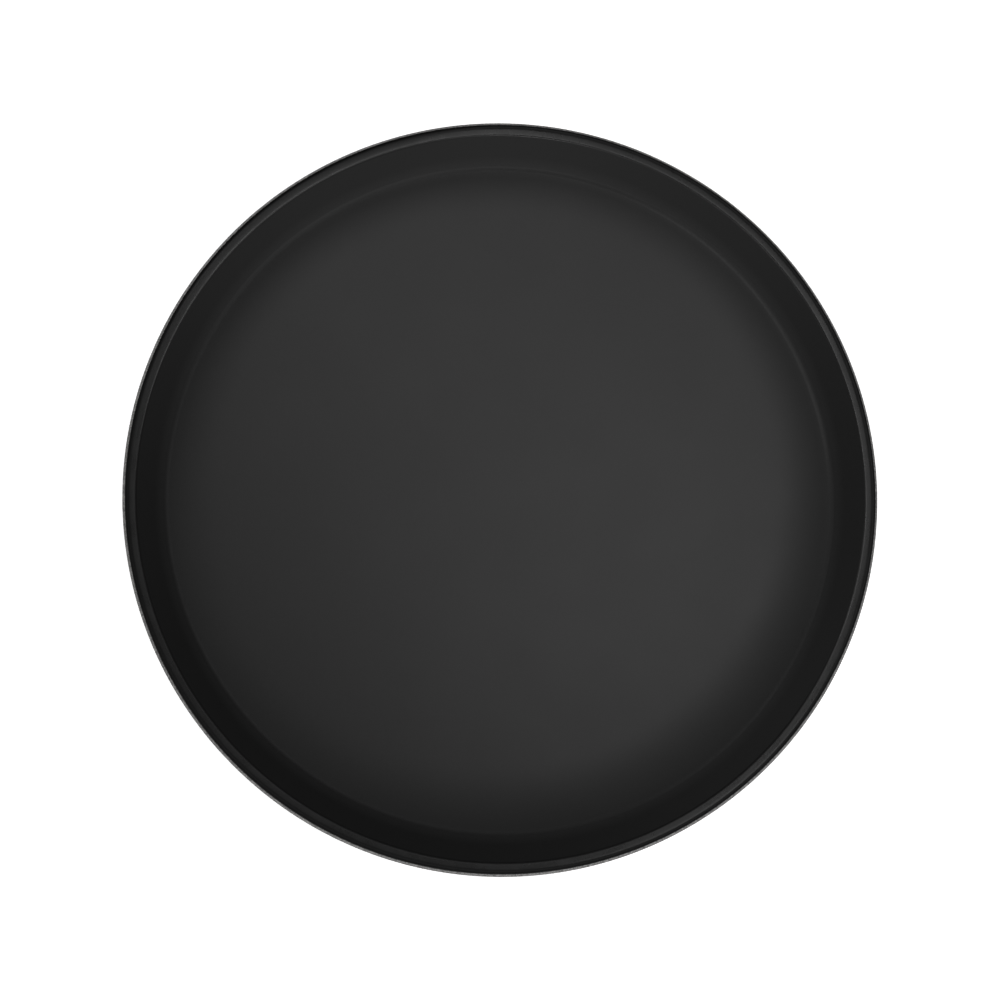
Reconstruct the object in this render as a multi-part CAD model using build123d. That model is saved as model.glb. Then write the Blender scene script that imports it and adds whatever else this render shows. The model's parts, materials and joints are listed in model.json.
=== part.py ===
from build123d import *
from math import atan2, cos, sin
import os

# Round non-slip serving tray: a moulded glass-fibre shell, a rubber lining bonded over its whole
# inside and its rim, and a steel wire hoop sealed in the rim bead.
# Millimetres. The origin is the centre of the base, +Z is up, and every piece is a solid of
# revolution about Z, drawn as a half section in the XZ plane with X as the radius.

# Overall size: a nominal 16 inch waiter's tray. The height is that of the crown's inner edge before
# rounding, which takes 0.04 mm off it.
tray_diameter = 406.4
tray_height = 23.0

# Sheet thicknesses
shell_thickness = 2.4
lining_thickness = 0.8

# Foot ring: a low raised band under the edge of the floor, which the tray stands on
foot_height = 0.8
foot_width = 9.0
foot_outer_diameter = 350.0
foot_edge_radius = 0.35

# Floor and wall, where their upper surfaces would meet in a sharp corner
floor_diameter = 361.8
floor_corner_radius = 4.0

# Rim, as the lining's outer surface: a crown that falls gently outwards from a crisp inner edge,
# a sloping shoulder, and an almost upright skirt. Drops are measured down from the top.
crown_inner_diameter = 391.4
crown_inner_radius = 1.2
shoulder_diameter = 399.8
shoulder_drop = 0.26
shoulder_radius = 3.7
rim_corner_diameter = 403.2
rim_corner_drop = 1.4
rim_corner_radius = 1.6
skirt_end_diameter = 403.6
skirt_drop = 4.6

# Trimmed lip of bare laminate below the lining's edge
lip_slope_drop = 0.7
lip_edge_height = 0.9
lip_edge_radius = 0.3
bead_inner_radius = 2.5

# Steel wire hoop inside the rim bead
wire_diameter = 2.4
wire_hoop_diameter = 396.4
wire_depth = 3.6

# Worked-out radii and heights
outer_radius = tray_diameter / 2
floor_level = foot_height + shell_thickness + lining_thickness
skirt_end_level = tray_height - skirt_drop
lip_top_level = skirt_end_level - lip_slope_drop
bead_level = lip_top_level - lip_edge_height

# Corners of the lining's upper surface, from the axis to the lower edge of the rim's skirt
lining_corners = [
    (0, floor_level),
    (floor_diameter / 2, floor_level),
    (crown_inner_diameter / 2, tray_height),
    (shoulder_diameter / 2, tray_height - shoulder_drop),
    (rim_corner_diameter / 2, tray_height - rim_corner_drop),
    (skirt_end_diameter / 2, skirt_end_level),
]


def direction(start, end):
    """Unit vector from one section point to the next."""
    angle = atan2(end[1] - start[1], end[0] - start[0])
    return cos(angle), sin(angle)


def pushed_in(corners, depth):
    """The corners of a polyline that lies the given depth inside the material."""
    result = []
    for index, corner in enumerate(corners):
        before = direction(corners[max(index - 1, 0)], corners[max(index, 1)])
        last = len(corners) - 1
        after = direction(corners[min(index, last - 1)], corners[min(index + 1, last)])
        across = (before[1] + after[1], -before[0] - after[0])
        stretch = depth / (1 + before[0] * after[0] + before[1] * after[1])
        result.append((corner[0] + across[0] * stretch, corner[1] + across[1] * stretch))
    return result


def surface_line(depth):
    """The lining's upper surface moved into the material: straight runs joined by tangent arcs."""
    radii = [
        floor_corner_radius + depth,
        crown_inner_radius - depth,
        shoulder_radius - depth,
        rim_corner_radius - depth,
    ]
    return FilletPolyline(*pushed_in(lining_corners, depth), radius=radii)


def revolved(section):
    """Solid of revolution of a half section, about the tray's own axis."""
    return revolve(section, axis=Axis.Z)


def make_rubber_lining():
    """Sheet of even thickness over the floor, the wall, the crown and the skirt."""
    with BuildSketch(Plane.XZ) as section:
        with BuildLine():
            upper = surface_line(0)
            lower = surface_line(lining_thickness)
            Line(upper @ 0, lower @ 0)
            Line(upper @ 1, lower @ 1)
        make_face()
    return revolved(section.sketch)


def underside_points():
    """Corners of the shell's outside, from the lip in to the axis."""
    wall_rise = tray_height - floor_level
    wall_run = (crown_inner_diameter - floor_diameter) / 2
    wall_slope = wall_run / wall_rise
    corner = pushed_in(lining_corners, lining_thickness + shell_thickness)[1]
    wall_at_bead = corner[0] + (bead_level - corner[1]) * wall_slope
    foot_outer = foot_outer_diameter / 2
    foot_inner = foot_outer - foot_width
    return [
        (outer_radius, lip_top_level),
        (outer_radius, bead_level),
        (wall_at_bead, bead_level),
        corner,
        (foot_outer, foot_height),
        (foot_outer, 0),
        (foot_inner, 0),
        (foot_inner, foot_height),
        (0, foot_height),
    ]


def make_fibreglass_shell():
    """One moulding: floor, wall, foot ring, solid rim bead with the wire's cavity, and lip."""
    outside_radii = [
        lip_edge_radius,
        lip_edge_radius,
        bead_inner_radius,
        floor_corner_radius + lining_thickness + shell_thickness,
        foot_edge_radius,
        foot_edge_radius,
        foot_edge_radius,
        foot_edge_radius,
    ]
    skirt_end = (skirt_end_diameter / 2, skirt_end_level)
    with BuildSketch(Plane.XZ) as section:
        with BuildLine():
            inside = surface_line(lining_thickness)
            Line(inside @ 1, skirt_end)
            outside = FilletPolyline(skirt_end, *underside_points(), radius=outside_radii)
            Line(outside @ 1, inside @ 0)
        make_face()
        with Locations(wire_centre()):
            Circle(wire_diameter / 2, mode=Mode.SUBTRACT)
    return revolved(section.sketch)


def wire_centre():
    """Centre of the wire's section, as radius and height."""
    return wire_hoop_diameter / 2, tray_height - wire_depth


def make_rim_wire():
    """Closed round hoop, its ends butt-welded."""
    with BuildSketch(Plane.XZ) as section:
        with Locations(wire_centre()):
            Circle(wire_diameter / 2)
    return revolved(section.sketch)


parts = {
    "fibreglass_shell": make_fibreglass_shell(),
    "rubber_lining": make_rubber_lining(),
    "rim_wire": make_rim_wire(),
}

os.makedirs("parts", exist_ok=True)
for name, shape in parts.items():
    solid = shape.solids()[0]
    solid.label = name
    export_step(solid, f"parts/{name}.step")
    box = solid.bounding_box()
    print(name, "volume", round(solid.volume), "valid", solid.is_valid, "height", box.min.Z, box.max.Z)
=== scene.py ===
"""Looks of the round non-slip serving tray: lining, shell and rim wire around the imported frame."""
import json
from math import atan2, ceil, cos, hypot, pi, radians, sin, tan

import bpy
import numpy as np
from mathutils import Matrix, Vector


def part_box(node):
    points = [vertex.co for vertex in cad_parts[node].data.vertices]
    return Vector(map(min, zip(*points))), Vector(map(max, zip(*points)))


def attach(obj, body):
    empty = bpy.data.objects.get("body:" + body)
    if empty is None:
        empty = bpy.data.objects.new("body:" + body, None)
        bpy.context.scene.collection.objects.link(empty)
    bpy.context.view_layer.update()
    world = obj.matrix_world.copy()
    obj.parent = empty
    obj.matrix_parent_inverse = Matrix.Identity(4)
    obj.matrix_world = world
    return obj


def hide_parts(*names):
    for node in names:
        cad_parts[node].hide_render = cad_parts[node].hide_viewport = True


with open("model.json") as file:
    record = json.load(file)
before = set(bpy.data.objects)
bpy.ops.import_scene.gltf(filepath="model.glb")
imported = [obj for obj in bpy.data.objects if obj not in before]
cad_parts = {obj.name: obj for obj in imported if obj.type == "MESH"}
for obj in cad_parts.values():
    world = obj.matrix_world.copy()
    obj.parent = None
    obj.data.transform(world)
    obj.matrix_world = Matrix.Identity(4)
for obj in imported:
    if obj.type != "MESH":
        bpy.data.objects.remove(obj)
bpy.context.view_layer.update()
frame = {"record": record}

MM = 0.001
random = np.random.default_rng(16)

# ---------------------------------------------------------------- sizes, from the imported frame
mounts = {m["name"]: m["pos_m"] for m in frame["record"]["mounts"]}
lining_low, lining_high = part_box("rubber_lining")
wire_low, wire_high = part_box("rim_wire")

tray_radius = frame["record"]["size"]["bbox_m"][0] / 2
floor_level = mounts["tray_floor"][2]
lining_thickness = floor_level - lining_low.z
foot_middle = mounts["base"][0]
wire_radius = (wire_high.z - wire_low.z) / 2
wire_level = (wire_high.z + wire_low.z) / 2
hoop_radius = wire_high.x - wire_radius

# The rest of the half section, as the CAD has it. The rim's top is where the crown's inner edge
# would come before rounding, a little above the lining's own top.
shell_thickness = 2.4 * MM
foot_height = 0.8 * MM
foot_width = 9.0 * MM
rim_top = lining_high.z + 0.02 * MM
floor_edge = 180.9 * MM
crown_inner = 195.7 * MM
shoulder = 199.9 * MM
shoulder_drop = 0.26 * MM
rim_corner = 201.6 * MM
rim_corner_drop = 1.4 * MM
skirt_radius = 201.8 * MM
skirt_drop = 4.6 * MM
lip_slope_drop = 0.7 * MM
lip_edge_height = 0.9 * MM
floor_fillet = 4.0 * MM
inner_round = 1.2 * MM
shoulder_round = 3.7 * MM
corner_round = 1.6 * MM
bead_fillet = 2.5 * MM
lip_round = 0.25 * MM
foot_round = 0.35 * MM
cut_round = 0.16 * MM

skirt_level = rim_top - skirt_drop
lip_level = skirt_level - lip_slope_drop
bead_level = lip_level - lip_edge_height

# ---------------------------------------------------------------- half sections
lining_corners = [
    (0, floor_level),
    (floor_edge, floor_level),
    (crown_inner, rim_top),
    (shoulder, rim_top - shoulder_drop),
    (rim_corner, rim_top - rim_corner_drop),
    (skirt_radius, skirt_level),
]


def unit(start, end):
    """Direction from one section point to the next."""
    angle = atan2(end[1] - start[1], end[0] - start[0])
    return cos(angle), sin(angle)


def pushed_in(corners, depth):
    """The corners of a polyline that lies the given depth inside the material."""
    result = []
    last = len(corners) - 1
    for index, corner in enumerate(corners):
        before = unit(corners[max(index - 1, 0)], corners[max(index, 1)])
        after = unit(corners[min(index, last - 1)], corners[min(index + 1, last)])
        across = (before[1] + after[1], -before[0] - after[0])
        stretch = depth / (1 + before[0] * after[0] + before[1] * after[1])
        result.append((corner[0] + across[0] * stretch, corner[1] + across[1] * stretch))
    return result


def corner_arc(before, corner, after, radius, step):
    """Points of the arc that rounds one corner, with a support point on the run at each end."""
    arriving = unit(before, corner)
    leaving = unit(corner, after)
    turn = atan2(arriving[0] * leaving[1] - arriving[1] * leaving[0],
                 arriving[0] * leaving[0] + arriving[1] * leaving[1])
    reach = radius * tan(abs(turn) / 2)
    side = 1 if turn > 0 else -1
    start = (corner[0] - arriving[0] * reach, corner[1] - arriving[1] * reach)
    centre = (start[0] - arriving[1] * radius * side, start[1] + arriving[0] * radius * side)
    first = atan2(start[1] - centre[1], start[0] - centre[0])
    count = max(2, ceil(abs(turn) / step))
    points = []
    for index in range(count + 1):
        angle = first + turn * index / count
        points.append((centre[0] + radius * cos(angle), centre[1] + radius * sin(angle)))
    support = min(support_share * radius, longest_support)
    lead_in = (start[0] - arriving[0] * support, start[1] - arriving[1] * support)
    lead_out = (points[-1][0] + leaving[0] * support, points[-1][1] + leaving[1] * support)
    return [lead_in, *points, lead_out]


def rounded(corners, radii, step=radians(6)):
    """An open polyline's points, with each inner corner rounded by its own radius."""
    points = [corners[0]]
    for index, radius in enumerate(radii, start=1):
        points += corner_arc(corners[index - 1], corners[index], corners[index + 1], radius, step)
    points.append(corners[-1])
    return points


def lining_section():
    """Clockwise round the sheet: out over the upper surface, round the cut edge, back underneath."""
    upper_radii = [floor_fillet, inner_round, shoulder_round, corner_round]
    lower_radii = [corner_round - lining_thickness, shoulder_round - lining_thickness,
                   inner_round - lining_thickness, floor_fillet + lining_thickness]
    corners = lining_corners + pushed_in(lining_corners, lining_thickness)[::-1]
    return rounded(corners, upper_radii + [cut_round, cut_round] + lower_radii)


def shell_section():
    """Clockwise round the moulding: under the lining, round the lip, then the outside to the axis."""
    inside = pushed_in(lining_corners, lining_thickness)
    outside_corner = pushed_in(lining_corners, lining_thickness + shell_thickness)[1]
    wall_slope = (crown_inner - floor_edge) / (rim_top - floor_level)
    wall_at_bead = outside_corner[0] + (bead_level - outside_corner[1]) * wall_slope
    foot_outer = foot_middle + foot_width / 2
    foot_inner = foot_middle - foot_width / 2
    corners = inside + [
        (skirt_radius, skirt_level),
        (tray_radius, lip_level),
        (tray_radius, bead_level),
        (wall_at_bead, bead_level),
        outside_corner,
        (foot_outer, foot_height),
        (foot_outer, 0),
        (foot_inner, 0),
        (foot_inner, foot_height),
        (0, foot_height),
    ]
    inside_radii = [floor_fillet + lining_thickness, inner_round - lining_thickness,
                    shoulder_round - lining_thickness, corner_round - lining_thickness, cut_round]
    outside_radii = [cut_round, lip_round, lip_round, bead_fillet,
                     floor_fillet + lining_thickness + shell_thickness,
                     foot_round, foot_round, foot_round, foot_round]
    return rounded(corners, inside_radii + outside_radii)


def circle_section(steps, direction):
    """Closed round section of the wire or of its cavity; direction 1 leaves the material outside."""
    points = []
    for index in range(steps):
        angle = direction * 2 * pi * index / steps
        across = wire_radius * cos(angle)
        points.append((hoop_radius + across, wire_level + wire_radius * sin(angle)))
    return points


# ---------------------------------------------------------------- meshes of revolution
FULL_SIDES = 768
POLE_SIDES = 12
CAVITY_STEPS = 16
WIRE_STEPS = 24
longest_run = 4.0 * MM
halving_radius = 130.0 * MM
innermost_ring = 1.5 * MM
pole_radius = 0.1 * MM
support_share = 0.3
longest_support = 0.3 * MM


def divided(points):
    """Adds rings on long runs: evenly on the wall, and in shrinking steps towards the axis."""
    result = [points[0]]
    for start, end in zip(points, points[1:]):
        run = hypot(end[0] - start[0], end[1] - start[1])
        inner, outer = sorted((start[0], end[0]))
        if run > halving_radius:
            radii = []
            radius = halving_radius
            while radius > innermost_ring:
                radii += [radius, radius * 0.75]
                radius /= 2
            radii = sorted(r for r in radii if inner < r < outer)
            height = start[1]
            middle = [(r, height) for r in (radii if start[0] < end[0] else radii[::-1])]
        else:
            count = ceil(run / longest_run)
            middle = [
                (start[0] + (end[0] - start[0]) * k / count,
                 start[1] + (end[1] - start[1]) * k / count)
                for k in range(1, count)
            ]
        result += middle + [end]
    return result


def ring_sides(radius, full):
    """Number of sides of a ring: halved each time the radius halves, down to the pole."""
    if radius < pole_radius:
        return 1
    sides = full
    limit = halving_radius
    while radius < limit * 0.99 and sides > POLE_SIDES:
        sides //= 2
        limit /= 2
    return sides


def band_faces(first, first_sides, second, second_sides):
    """Faces between two rings of equal, double or half count, or between a ring and a pole."""
    faces = []
    if first_sides == 1:
        for j in range(second_sides):
            faces.append((first, second + j, second + (j + 1) % second_sides))
    elif second_sides == 1:
        for j in range(first_sides):
            faces.append((first + j, second, first + (j + 1) % first_sides))
    elif first_sides == second_sides:
        for j in range(first_sides):
            k = (j + 1) % first_sides
            faces.append((first + j, second + j, second + k, first + k))
    elif second_sides == 2 * first_sides:
        for j in range(first_sides):
            k = (j + 1) % first_sides
            middle, far = second + 2 * j + 1, second + (2 * j + 2) % second_sides
            faces.append((first + j, second + 2 * j, middle))
            faces.append((first + j, middle, first + k))
            faces.append((first + k, middle, far))
    else:
        for j in range(second_sides):
            k = (j + 1) % second_sides
            middle, far = first + 2 * j + 1, first + (2 * j + 2) % first_sides
            faces.append((first + 2 * j, second + j, middle))
            faces.append((middle, second + j, second + k))
            faces.append((middle, second + k, far))
    return faces


def add_section(points, sides_of, closed, vertices, faces):
    """Revolves one section about Z and appends its rings and faces."""
    starts, counts = [], []
    for radius, height in points:
        sides = sides_of(radius, height)
        angles = np.arange(sides) * 2 * pi / sides
        starts.append(sum(len(v) for v in vertices))
        counts.append(sides)
        ring = [np.full(sides, radius), np.full(sides, height), angles]
        vertices.append(np.stack(ring, axis=1))
    pairs = list(zip(range(len(points)), range(1, len(points))))
    if closed:
        pairs.append((len(points) - 1, 0))
    for a, b in pairs:
        faces += band_faces(starts[a], counts[a], starts[b], counts[b])


def make_object(name, vertices, faces, relief):
    """Mesh object from rings in (radius, height, angle), after the piece's own surface relief."""
    rings = np.concatenate(vertices)
    radius, height, angle = relief(rings[:, 0], rings[:, 1], rings[:, 2])
    places = np.stack([radius * np.cos(angle), radius * np.sin(angle), height], axis=1)
    mesh = bpy.data.meshes.new(name)
    mesh.from_pydata(places.tolist(), [], faces)
    mesh.validate()
    mesh.shade_smooth()
    piece = bpy.data.objects.new(name, mesh)
    bpy.context.scene.collection.objects.link(piece)
    return piece


def round_noise(lowest, highest, terms):
    """Function of the angle round the tray: a seeded sum of waves, about -1 to 1."""
    waves = random.integers(lowest, highest + 1, terms)
    phases = random.uniform(0, 2 * pi, terms)
    sizes = random.uniform(0.4, 1.0, terms)
    sizes /= np.sqrt((sizes ** 2).sum())

    def value(angle):
        return (sizes[:, None] * np.cos(np.outer(waves, angle) + phases[:, None])).sum(axis=0)

    return value


def smooth_step(low, high, value):
    """0 below low, 1 above high, and smooth between."""
    t = np.clip((value - low) / (high - low), 0, 1)
    return t * t * (3 - 2 * t)


# Unevenness round the tray. The crown's flats are places in degrees from +X, each with the slope by
# which the crown falls less there; the sag times a distance squared, in metres, is a further drop.
crown_wave = round_noise(2, 9, 7)
trim_wave = round_noise(5, 60, 16)
crown_wave_size = 0.006
crown_flats = ((30, 0.030), (89, 0.018), (146, 0.014), (329, 0.016))
flat_width = radians(5)
crown_level_share = 0.010
lean_start = 0.4 * MM
lean_reach = 3.0 * MM
sag_start = 1.3 * MM
crown_sag = 20.0
trim_size = 0.10 * MM
lip_grain_size = 0.07 * MM


def crown_lean(angle):
    """How much less than usual the crown falls outwards, as a slope, round the tray."""
    lean = crown_level_share + crown_wave_size * crown_wave(angle)
    for place, size in crown_flats:
        away = (angle - radians(place) + pi) % (2 * pi) - pi
        lean = lean + size * np.exp(-(away / flat_width) ** 2)
    return lean


def lining_relief(radius, height, angle):
    """The rim's crown leans a little and sags outwards; the lining's cut edge is not quite even."""
    on_crown = smooth_step(rim_top - 2.4 * MM, rim_top - 1.0 * MM, height)
    outwards = np.clip(radius - crown_inner - lean_start, 0, None) * on_crown
    sagging = np.clip(radius - crown_inner - sag_start, 0, None) * on_crown
    level = crown_lean(angle) * np.minimum(outwards, lean_reach)
    height = height + level - crown_sag * sagging ** 2
    at_cut = smooth_step(skirt_level + 1.2 * MM, skirt_level, height)
    at_cut *= radius > rim_corner - lining_thickness
    height = height + at_cut * trim_size * (0.5 + 0.5 * trim_wave(angle))
    return radius, height, angle


def shell_relief(radius, height, angle):
    """The trimmed lip is rough: sanded glass and resin, always inside the true outline."""
    on_lip = smooth_step(skirt_radius, skirt_radius + 0.15 * MM, radius)
    grain = random.uniform(0, 1, len(radius)) * lip_grain_size * on_lip
    radius = radius - grain
    height = height - 0.6 * grain * (height > bead_level + 0.4 * MM)
    return radius, height, angle


def no_relief(radius, height, angle):
    """The wire keeps its exact shape."""
    return radius, height, angle


def lining_sides(radius, height):
    """Fine rings at the cut edge."""
    if radius > skirt_radius - 1.2 * MM and height < skirt_level + 0.9 * MM:
        return 2 * FULL_SIDES
    return ring_sides(radius, FULL_SIDES)


def shell_sides(radius, height):
    """Fine rings on the trimmed lip."""
    if radius > skirt_radius - 0.3 * MM and height > bead_level - 0.1 * MM:
        return 2 * FULL_SIDES
    return ring_sides(radius, FULL_SIDES)


def hoop_sides(radius, height):
    """Half rings on the wire and its cavity, which are sealed in."""
    return FULL_SIDES // 2


def make_lining():
    """Rubber sheet over the floor, the wall and the rim."""
    vertices, faces = [], []
    add_section(divided(lining_section()), lining_sides, False, vertices, faces)
    return make_object("lining", vertices, faces, lining_relief)


def make_shell():
    """Laminate moulding with the wire's cavity in its bead."""
    vertices, faces = [], []
    add_section(divided(shell_section()), shell_sides, False, vertices, faces)
    add_section(circle_section(CAVITY_STEPS, 1), hoop_sides, True, vertices, faces)
    return make_object("shell", vertices, faces, shell_relief)


def make_wire():
    """Steel hoop that fills the cavity."""
    vertices, faces = [], []
    add_section(circle_section(WIRE_STEPS, -1), hoop_sides, True, vertices, faces)
    return make_object("wire_hoop", vertices, faces, no_relief)


# ---------------------------------------------------------------- material nodes
class Graph:
    """A material's node tree, with one call to add a node and wire its inputs."""

    def __init__(self, name):
        self.material = bpy.data.materials.new(name)
        self.material.use_nodes = True
        self.nodes = self.material.node_tree.nodes
        self.links = self.material.node_tree.links
        self.shader = self.nodes["Principled BSDF"]
        self.place = self.nodes.new("ShaderNodeTexCoord").outputs["Object"]

    def feed(self, socket, value):
        """Links a node's output to a socket, or sets the socket to a constant."""
        if isinstance(value, bpy.types.NodeSocket):
            self.links.new(value, socket)
        else:
            socket.default_value = value

    def add(self, kind, output, inputs, **settings):
        """Adds a node, fills its inputs and gives back one of its outputs."""
        node = self.nodes.new("ShaderNode" + kind)
        for key, value in settings.items():
            setattr(node, key, value)
        for key, value in inputs.items():
            self.feed(node.inputs[key], value)
        return node.outputs[output]

    def math(self, operation, first, second=0.0):
        """One sum on two numbers."""
        return self.add("Math", 0, {0: first, 1: second}, operation=operation)

    def noise(self, size, detail=2.0, place=None, roughness=0.5):
        """Noise with features about as large as size, in metres; about 0 to 1."""
        inputs = {
            "Vector": place or self.place,
            "Scale": 1 / size,
            "Detail": detail,
            "Roughness": roughness,
        }
        return self.add("TexNoise", "Fac", inputs)

    def stretched(self, scale, turn=0.0):
        """The place in the row frame, turned about Z and then scaled along each axis."""
        inputs = {"Vector": self.place, "Angle": turn}
        turned = self.add("VectorRotate", 0, inputs, rotation_type="Z_AXIS")
        return self.add("VectorMath", 0, {0: turned, 1: scale}, operation="MULTIPLY")

    def ramp(self, value, low, high, to_low=0.0, to_high=1.0, interpolation="LINEAR"):
        """Carries a value from one range over to another, and holds it at the ends."""
        inputs = {
            "Value": value,
            "From Min": low,
            "From Max": high,
            "To Min": to_low,
            "To Max": to_high,
        }
        return self.add("MapRange", "Result", inputs, interpolation_type=interpolation)

    def within(self, value, start, full, last, end):
        """1 between full and last, falling to 0 at start and at end."""
        rising = self.ramp(value, start, full)
        falling = self.ramp(value, end, last)
        return self.math("MULTIPLY", rising, falling)

    def blend(self, share, first, second):
        """Colour between two colours."""
        return self.add("Mix", 2, {0: share, 6: first, 7: second}, data_type="RGBA")

    def blend_value(self, share, first, second):
        """Number between two numbers."""
        return self.add("Mix", 0, {0: share, 2: first, 3: second}, data_type="FLOAT")

    def from_axis(self, offset=(0, 0, 0)):
        """Distance from the tray's axis, or from an upright line beside it."""
        beside = self.add("VectorMath", 0, {0: self.place, 1: offset}, operation="SUBTRACT")
        flat = self.add("VectorMath", 0, {0: beside, 1: (1, 1, 0)}, operation="MULTIPLY")
        return self.add("VectorMath", "Value", {0: flat}, operation="LENGTH")

    def height(self):
        """Height above the table."""
        return self.add("SeparateXYZ", "Z", {0: self.place})

    def along(self, direction):
        """How far a place lies from the axis in one direction, in metres."""
        inputs = {0: self.place, 1: direction}
        return self.add("VectorMath", "Value", inputs, operation="DOT_PRODUCT")

    def bump(self, height, distance, normal=None):
        """Shading normal from a height, on top of another normal."""
        inputs = {"Height": height, "Distance": distance, "Strength": 1.0}
        if normal is not None:
            inputs["Normal"] = normal
        return self.add("Bump", "Normal", inputs)


def grey(value, tint=0.0):
    """A neutral colour, slightly warm or cool."""
    return (value * (1 + tint), value, value * (1 - tint), 1.0)


# Places on the rubber: the middle of the rubbed patch with the distances over which the rubbing
# fades, the side where the crown is polished farther in and a painted highlight runs at the floor's
# edge, the side that is kept from wear, and the side where a brighter painted highlight runs there
rubbed_middle = (-1.0 * MM, 6.0 * MM, 0)
rubbed_inner = 149 * MM
rubbed_outer = 192 * MM
near_direction = (0.34, 0.94, 0)
near_fade = 60 * MM
sheltered_direction = (-0.707, 0.707, 0)
sheltered_fade = (130 * MM, 170 * MM)
corner_highlight_direction = (0.82, 0.57, 0)
corner_highlight_fade = (150 * MM, 170 * MM)

# Finish of the rubber in each place: how black it is, its roughness and its gloss. The lighter
# blacks at the wall's foot, on the foot line and at the corner are painted highlights
BLACK = {
    "edge": 0.0048,
    "rubbed": 0.0042,
    "painted_wall_foot_highlight": 0.0082,
    "painted_foot_highlight": 0.0085,
    "painted_corner_highlight": 0.0135,
    "rim": 0.0055,
    "speck": 0.05,
}
ROUGH = {"edge": 0.627, "rubbed": 0.302, "slanting": 0.7, "skirt": 0.9}
GLOSS = {
    "floor": 0.16,
    "slanting": 0.03,
    "dull_edge": 0.04,
    "crown": 0.24,
    "dull_shoulder": 0.03,
    "skirt": 0.04,
    "sheltered": 0.0,
}


def rubber_masks(g, radius, height):
    """Where the sheet is rubbed, polished or dulled, and where highlights are painted along the
    floor's edge; each is 0 to 1.
    """
    on_floor = g.ramp(height, floor_level + 1.2 * MM, floor_level + 0.6 * MM)
    from_middle = g.from_axis(rubbed_middle)
    rubbed = g.ramp(from_middle, rubbed_outer, rubbed_inner, interpolation="SMOOTHSTEP")

    near = g.ramp(g.along(near_direction), -near_fade, near_fade)
    far = g.ramp(near, 0.0, 1.0, 1.0, 0.0)
    polish_reach = g.math("ADD", radius, g.math("MULTIPLY", near, 1.1 * MM))
    dull_edge = g.ramp(radius, crown_inner - 0.7 * MM, crown_inner - 0.3 * MM)
    dull_shoulder = g.ramp(radius, shoulder - 1.1 * MM, shoulder - 0.1 * MM)

    sheltered = g.ramp(g.along(sheltered_direction), *sheltered_fade)
    polish_end = g.math("SUBTRACT", height, g.math("MULTIPLY", sheltered, 0.35 * MM))

    # Painted highlights along the floor's edge: lighter bands on the floor and at the wall's foot
    painted_foot_highlight = g.within(radius, floor_edge - 5.0 * MM, floor_edge - 1.5 * MM,
                         floor_edge, floor_edge + 1.6 * MM)
    # Painted highlight: the brightest narrow band along the floor's edge, on one side only
    painted_corner_highlight = g.within(radius, floor_edge - 2.6 * MM, floor_edge - 1.8 * MM,
                      floor_edge - 0.8 * MM, floor_edge + 0.2 * MM)
    painted_wall_foot_highlight = g.within(radius, floor_edge + 0.2 * MM, floor_edge + 1.4 * MM,
                         floor_edge + 2.0 * MM, floor_edge + 5.4 * MM)
    slanting = g.add("LayerWeight", "Facing", {"Blend": 0.5})
    return {
        "rubbed": g.math("MULTIPLY", rubbed, on_floor),
        "on_rim": g.ramp(polish_reach, crown_inner + 0.3 * MM, crown_inner + 1.0 * MM),
        "upward": g.ramp(polish_end, rim_top - 1.1 * MM, rim_top - 0.4 * MM),
        "sheltered": sheltered,
        "dull_edge": g.math("MULTIPLY", dull_edge, far),
        "dull_shoulder": g.math("MULTIPLY", dull_shoulder, far),
        "painted_foot_highlight": g.math("MULTIPLY", painted_foot_highlight, g.ramp(g.along(near_direction), -0.02, 0.14)),
        "painted_corner_highlight": g.math("MULTIPLY", painted_corner_highlight, g.ramp(g.along(corner_highlight_direction), *corner_highlight_fade)),
        "painted_wall_foot_highlight": painted_wall_foot_highlight,
        "slanting": g.math("MULTIPLY", g.ramp(slanting, 0.30, 0.70), on_floor),
    }


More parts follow.
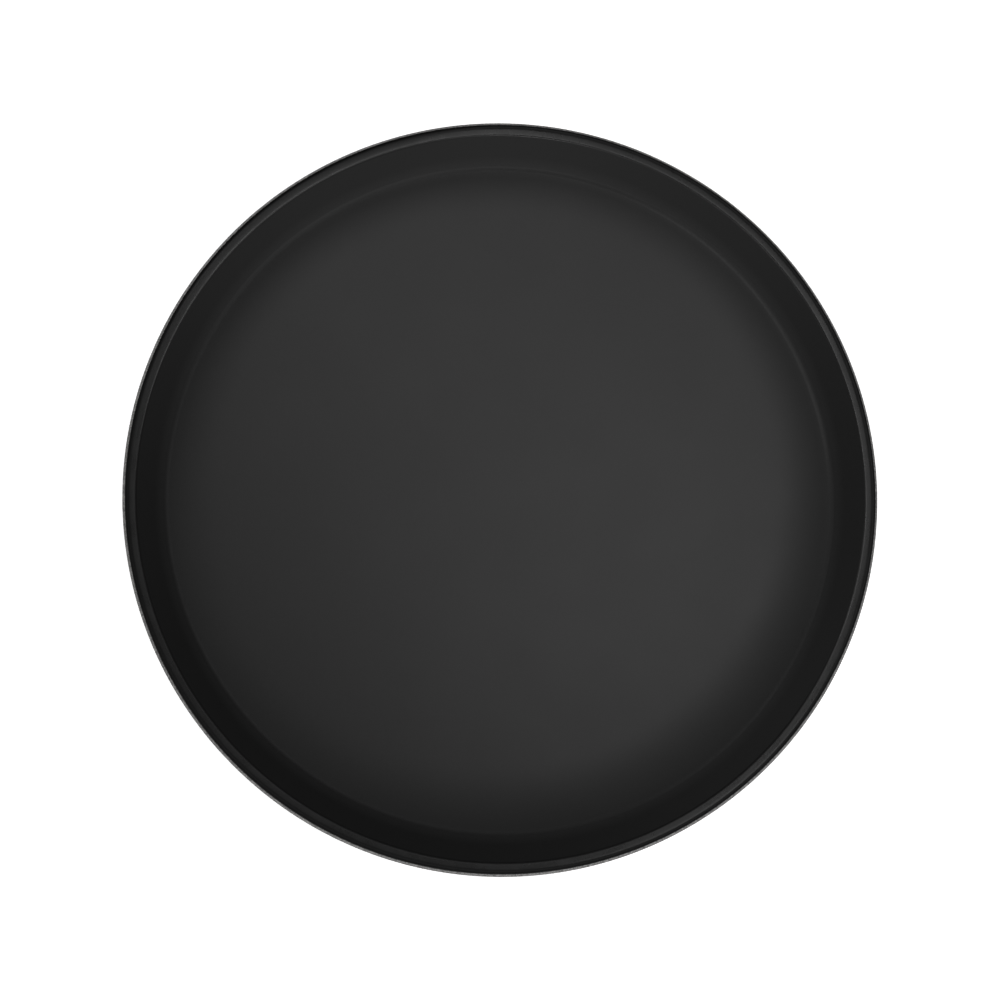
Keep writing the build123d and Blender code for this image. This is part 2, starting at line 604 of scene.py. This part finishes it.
def make_rubber():
    """Black non-slip sheet: its middle rubbed smoother, the crown polished, the skirt dull, with
    painted highlights along the floor's edge.
    """
    g = Graph("rubber_black")
    mask = rubber_masks(g, g.from_axis(), g.height())
    grain = g.noise(0.9 * MM, 3.0)
    cloud = g.noise(45 * MM, 3.0)
    streak = g.noise(11 * MM, 3.0, g.stretched((1, 1, 0.2)))
    speck = g.noise(0.8 * MM, 1.0)

    colour = g.blend(mask["rubbed"], grey(BLACK["edge"]), grey(BLACK["rubbed"]))
    # Painted highlights: lighter bands along the floor's edge and at the wall's foot
    for place in ("painted_wall_foot_highlight", "painted_foot_highlight", "painted_corner_highlight"):
        colour = g.blend(mask[place], colour, grey(BLACK[place]))
    colour = g.blend(mask["on_rim"], colour, grey(BLACK["rim"]))
    colour = g.blend(g.ramp(speck, 0.78, 0.86, 0.0, 0.25), colour, grey(BLACK["speck"]))
    tone = g.ramp(grain, 0.35, 0.65, 0.88, 1.12)
    colour = g.add("VectorMath", "Vector", {0: colour, "Scale": tone}, operation="SCALE")
    g.feed(g.shader.inputs["Base Color"], colour)

    rough = g.ramp(mask["rubbed"], 0.0, 1.0, ROUGH["edge"], ROUGH["rubbed"])
    rough = g.math("SUBTRACT", rough, g.math("MULTIPLY", mask["painted_foot_highlight"], 0.02))
    rough = g.blend_value(mask["slanting"], rough, ROUGH["slanting"])
    rough = g.math("ADD", rough, g.ramp(cloud, 0.35, 0.65, -0.006, 0.006))
    rough = g.math("ADD", rough, g.ramp(grain, 0.3, 0.7, -0.012, 0.012))
    crown_rough = g.ramp(streak, 0.40, 0.66, 0.26, 0.32)
    rim_rough = g.blend_value(mask["upward"], ROUGH["skirt"], crown_rough)
    g.feed(g.shader.inputs["Roughness"], g.blend_value(mask["on_rim"], rough, rim_rough))

    skirt_gloss = g.ramp(mask["sheltered"], 0.0, 1.0, GLOSS["skirt"], GLOSS["sheltered"])
    rim_gloss = g.blend_value(mask["upward"], skirt_gloss, GLOSS["crown"])
    rim_gloss = g.blend_value(mask["dull_shoulder"], rim_gloss, GLOSS["dull_shoulder"])
    floor_gloss = g.blend_value(mask["slanting"], GLOSS["floor"], GLOSS["slanting"])
    floor_gloss = g.blend_value(mask["dull_edge"], floor_gloss, GLOSS["dull_edge"])
    gloss = g.blend_value(mask["on_rim"], floor_gloss, rim_gloss)
    g.feed(g.shader.inputs["Specular IOR Level"], gloss)
    g.feed(g.shader.inputs["Normal"], g.bump(grain, 0.012 * MM))
    return g.material


def make_laminate():
    """Black moulding: satin resin over chopped glass strands, and a rough grey trimmed lip."""
    g = Graph("laminate_black")
    radius = g.from_axis()
    height = g.height()

    strand_size = (1 / (0.5 * MM), 1 / (14 * MM), 1 / (2 * MM))
    strands = None
    for turn in (0.2, 0.9, 1.7, 2.6):
        fibre = g.noise(1.0, 2.0, g.stretched(strand_size, turn))
        fibre = g.ramp(fibre, 0.60, 0.72)
        patch = g.ramp(g.noise(22 * MM, 1.0, g.stretched((1, 1, 1), turn * 3)), 0.48, 0.58)
        fibre = g.math("MULTIPLY", fibre, patch)
        strands = fibre if strands is None else g.math("MAXIMUM", strands, fibre)
    cloud = g.noise(50 * MM, 3.0)
    resin = g.blend(g.ramp(cloud, 0.35, 0.65), grey(0.012), grey(0.019, -0.01))
    resin = g.blend(g.math("MULTIPLY", strands, 0.5), resin, grey(0.055))

    scuff_size = (1 / (0.4 * MM), 1 / (6 * MM), 1 / MM)
    scuff = g.noise(1.0, 3.0, g.stretched(scuff_size, 0.6))
    on_foot = g.ramp(height, 0.25 * MM, 0.02 * MM)
    worn = g.math("MULTIPLY", on_foot, g.ramp(scuff, 0.40, 0.66, 0.15, 0.9))
    resin = g.blend(worn, resin, grey(0.10))

    grit = g.noise(1.3 * MM, 4.0, roughness=0.65)
    speck = g.noise(0.5 * MM, 2.0)
    beyond_lining = g.ramp(radius, skirt_radius - 0.1 * MM, skirt_radius + 0.1 * MM)
    above_bead = g.ramp(height, bead_level + 0.05 * MM, bead_level + 0.3 * MM)
    trimmed = g.math("MULTIPLY", beyond_lining, above_bead)
    grit_and_speck = g.ramp(g.math("ADD", grit, speck), 0.8, 1.25)
    cut = g.blend(grit_and_speck, grey(0.045), grey(0.21, 0.02))
    g.feed(g.shader.inputs["Base Color"], g.blend(trimmed, resin, cut))

    peel = g.noise(2.4 * MM, 2.0)
    satin = g.ramp(g.math("ADD", peel, cloud), 0.7, 1.3, 0.34, 0.46)
    satin = g.math("ADD", satin, g.math("MULTIPLY", worn, 0.25))
    rough = g.math("MAXIMUM", satin, g.math("MULTIPLY", trimmed, 0.85))
    g.feed(g.shader.inputs["Roughness"], rough)

    print_through = g.bump(strands, 0.02 * MM)
    orange_peel = g.bump(peel, 0.05 * MM, print_through)
    relief = g.bump(g.math("MULTIPLY", grit, trimmed), 0.25 * MM, orange_peel)
    g.feed(g.shader.inputs["Normal"], relief)
    return g.material


def make_steel():
    """Drawn steel wire: fine die lines along the hoop and a slightly uneven sheen."""
    g = Graph("steel_wire")
    lines = g.noise(1.0, 2.0, g.stretched((1 / (3 * MM), 1 / (3 * MM), 1 / (0.08 * MM))))
    tarnish = g.noise(8 * MM, 3.0)
    colour = g.blend(g.ramp(tarnish, 0.4, 0.7), grey(0.56), grey(0.38, 0.04))
    rough = g.ramp(g.math("ADD", lines, tarnish), 0.7, 1.3, 0.26, 0.44)
    g.feed(g.shader.inputs["Base Color"], colour)
    g.feed(g.shader.inputs["Roughness"], rough)
    g.feed(g.shader.inputs["Normal"], g.bump(lines, 0.01 * MM))
    g.shader.inputs["Metallic"].default_value = 1.0
    return g.material


def dress(piece, material, node):
    """Gives a piece its material, ties it to the body and hides the CAD node that it stands for."""
    piece.data.materials.append(material)
    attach(piece, "root")
    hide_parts(node)


dress(make_lining(), make_rubber(), "rubber_lining")
dress(make_shell(), make_laminate(), "fibreglass_shell")
dress(make_wire(), make_steel(), "rim_wire")

# ---------------------------------------------------------------- studio
FLOOR_SIZE = 12.0
FLOOR_WHITE = 0.85
FLOOR_GLOW = 0.55
FLOOR_FADE = (0.8, 2.0)
LIGHT_LEVEL = 0.75
WORLD_LEVEL = 0.3
WORLD_SEEN = 1.1
LIGHT_DISTANCE = 2.0

# Softboxes: name, direction from the tray as azimuth and elevation in degrees, width in metres, watts
softboxes = [
    ("over_1", 0, 82, 0.5, 4.4),
    ("over_2", 120, 82, 0.5, 1.6),
    ("over_3", 30, 72, 0.7, 3.9),
    ("over_4", 90, 72, 0.7, 4.9),
    ("high_1", 315, 52, 1.0, 12.6),
    ("side_1", 135, 32, 1.0, 25.5),
    ("low_1", 225, 14, 0.8, 13.5),
    ("low_2", 270, 14, 0.8, 24.2),
    ("low_3", 315, 14, 0.8, 16.5),
]


def make_floor():
    """White table top under the tray, which fades into the white surroundings."""
    half = FLOOR_SIZE / 2
    corners = [(-half, -half, 0), (half, -half, 0), (half, half, 0), (-half, half, 0)]
    mesh = bpy.data.meshes.new("studio_floor")
    mesh.from_pydata(corners, [], [(0, 1, 2, 3)])
    floor = bpy.data.objects.new("studio_floor", mesh)
    bpy.context.scene.collection.objects.link(floor)
    g = Graph("studio_white")
    g.shader.inputs["Base Color"].default_value = grey(FLOOR_WHITE)
    g.shader.inputs["Roughness"].default_value = 0.9
    g.shader.inputs["Specular IOR Level"].default_value = 0.1
    g.shader.inputs["Emission Color"].default_value = grey(1.0)
    g.shader.inputs["Emission Strength"].default_value = FLOOR_GLOW
    g.feed(g.shader.inputs["Alpha"], g.ramp(g.from_axis(), *FLOOR_FADE, 1.0, 0.0))
    mesh.materials.append(g.material)


def place_camera():
    """Long lens almost straight above, leaning a little towards -X and -Y, with the rim centred."""
    tilt = radians(5.8)
    azimuth = radians(234.6)
    distance = 1.8
    sensor = 36.0  # millimetres
    outline_share = 0.3781  # the outline's half width, as a share of the picture's width
    target = Vector((-1.18 * MM, -1.74 * MM, bead_level))
    back = Vector((sin(tilt) * cos(azimuth), sin(tilt) * sin(azimuth), cos(tilt)))
    data = bpy.data.cameras.new("camera")
    data.sensor_width = sensor
    data.lens = sensor * outline_share * distance / tray_radius
    camera = bpy.data.objects.new("camera", data)
    camera.location = target + back * distance
    right = Vector((0, 1, 0)).cross(back).normalized()
    turn = Matrix((right, back.cross(right), back)).transposed()
    camera.rotation_mode = "QUATERNION"
    camera.rotation_quaternion = turn.to_quaternion()
    bpy.context.scene.collection.objects.link(camera)
    bpy.context.scene.camera = camera


def add_softbox(name, azimuth, elevation, width, power):
    """Round area light that faces the tray."""
    a, e = radians(azimuth), radians(elevation)
    out = Vector((cos(a) * cos(e), sin(a) * cos(e), sin(e)))
    data = bpy.data.lights.new(name, "AREA")
    data.shape = "DISK"
    data.size = width
    data.energy = power
    light = bpy.data.objects.new(name, data)
    light.location = out * LIGHT_DISTANCE
    light.rotation_mode = "QUATERNION"
    light.rotation_quaternion = (-out).to_track_quat("-Z", "Y")
    bpy.context.scene.collection.objects.link(light)


def set_world():
    """Even pale surroundings: seen as white, and lighting the tray softly."""
    world = bpy.data.worlds.new("studio_world")
    world.use_nodes = True
    tree = world.node_tree
    background = tree.nodes["Background"]
    background.inputs["Color"].default_value = (1, 1, 1, 1)
    path = tree.nodes.new("ShaderNodeLightPath")
    strength = tree.nodes.new("ShaderNodeMapRange")
    strength.inputs["To Min"].default_value = WORLD_LEVEL * LIGHT_LEVEL
    strength.inputs["To Max"].default_value = WORLD_SEEN
    tree.links.new(path.outputs["Is Camera Ray"], strength.inputs["Value"])
    tree.links.new(strength.outputs["Result"], background.inputs["Strength"])
    bpy.context.scene.world = world


make_floor()
place_camera()
set_world()
for name, azimuth, elevation, width, watts in softboxes:
    add_softbox(name, azimuth, elevation, width, watts * LIGHT_LEVEL)
bpy.context.scene.view_settings.view_transform = "Standard"
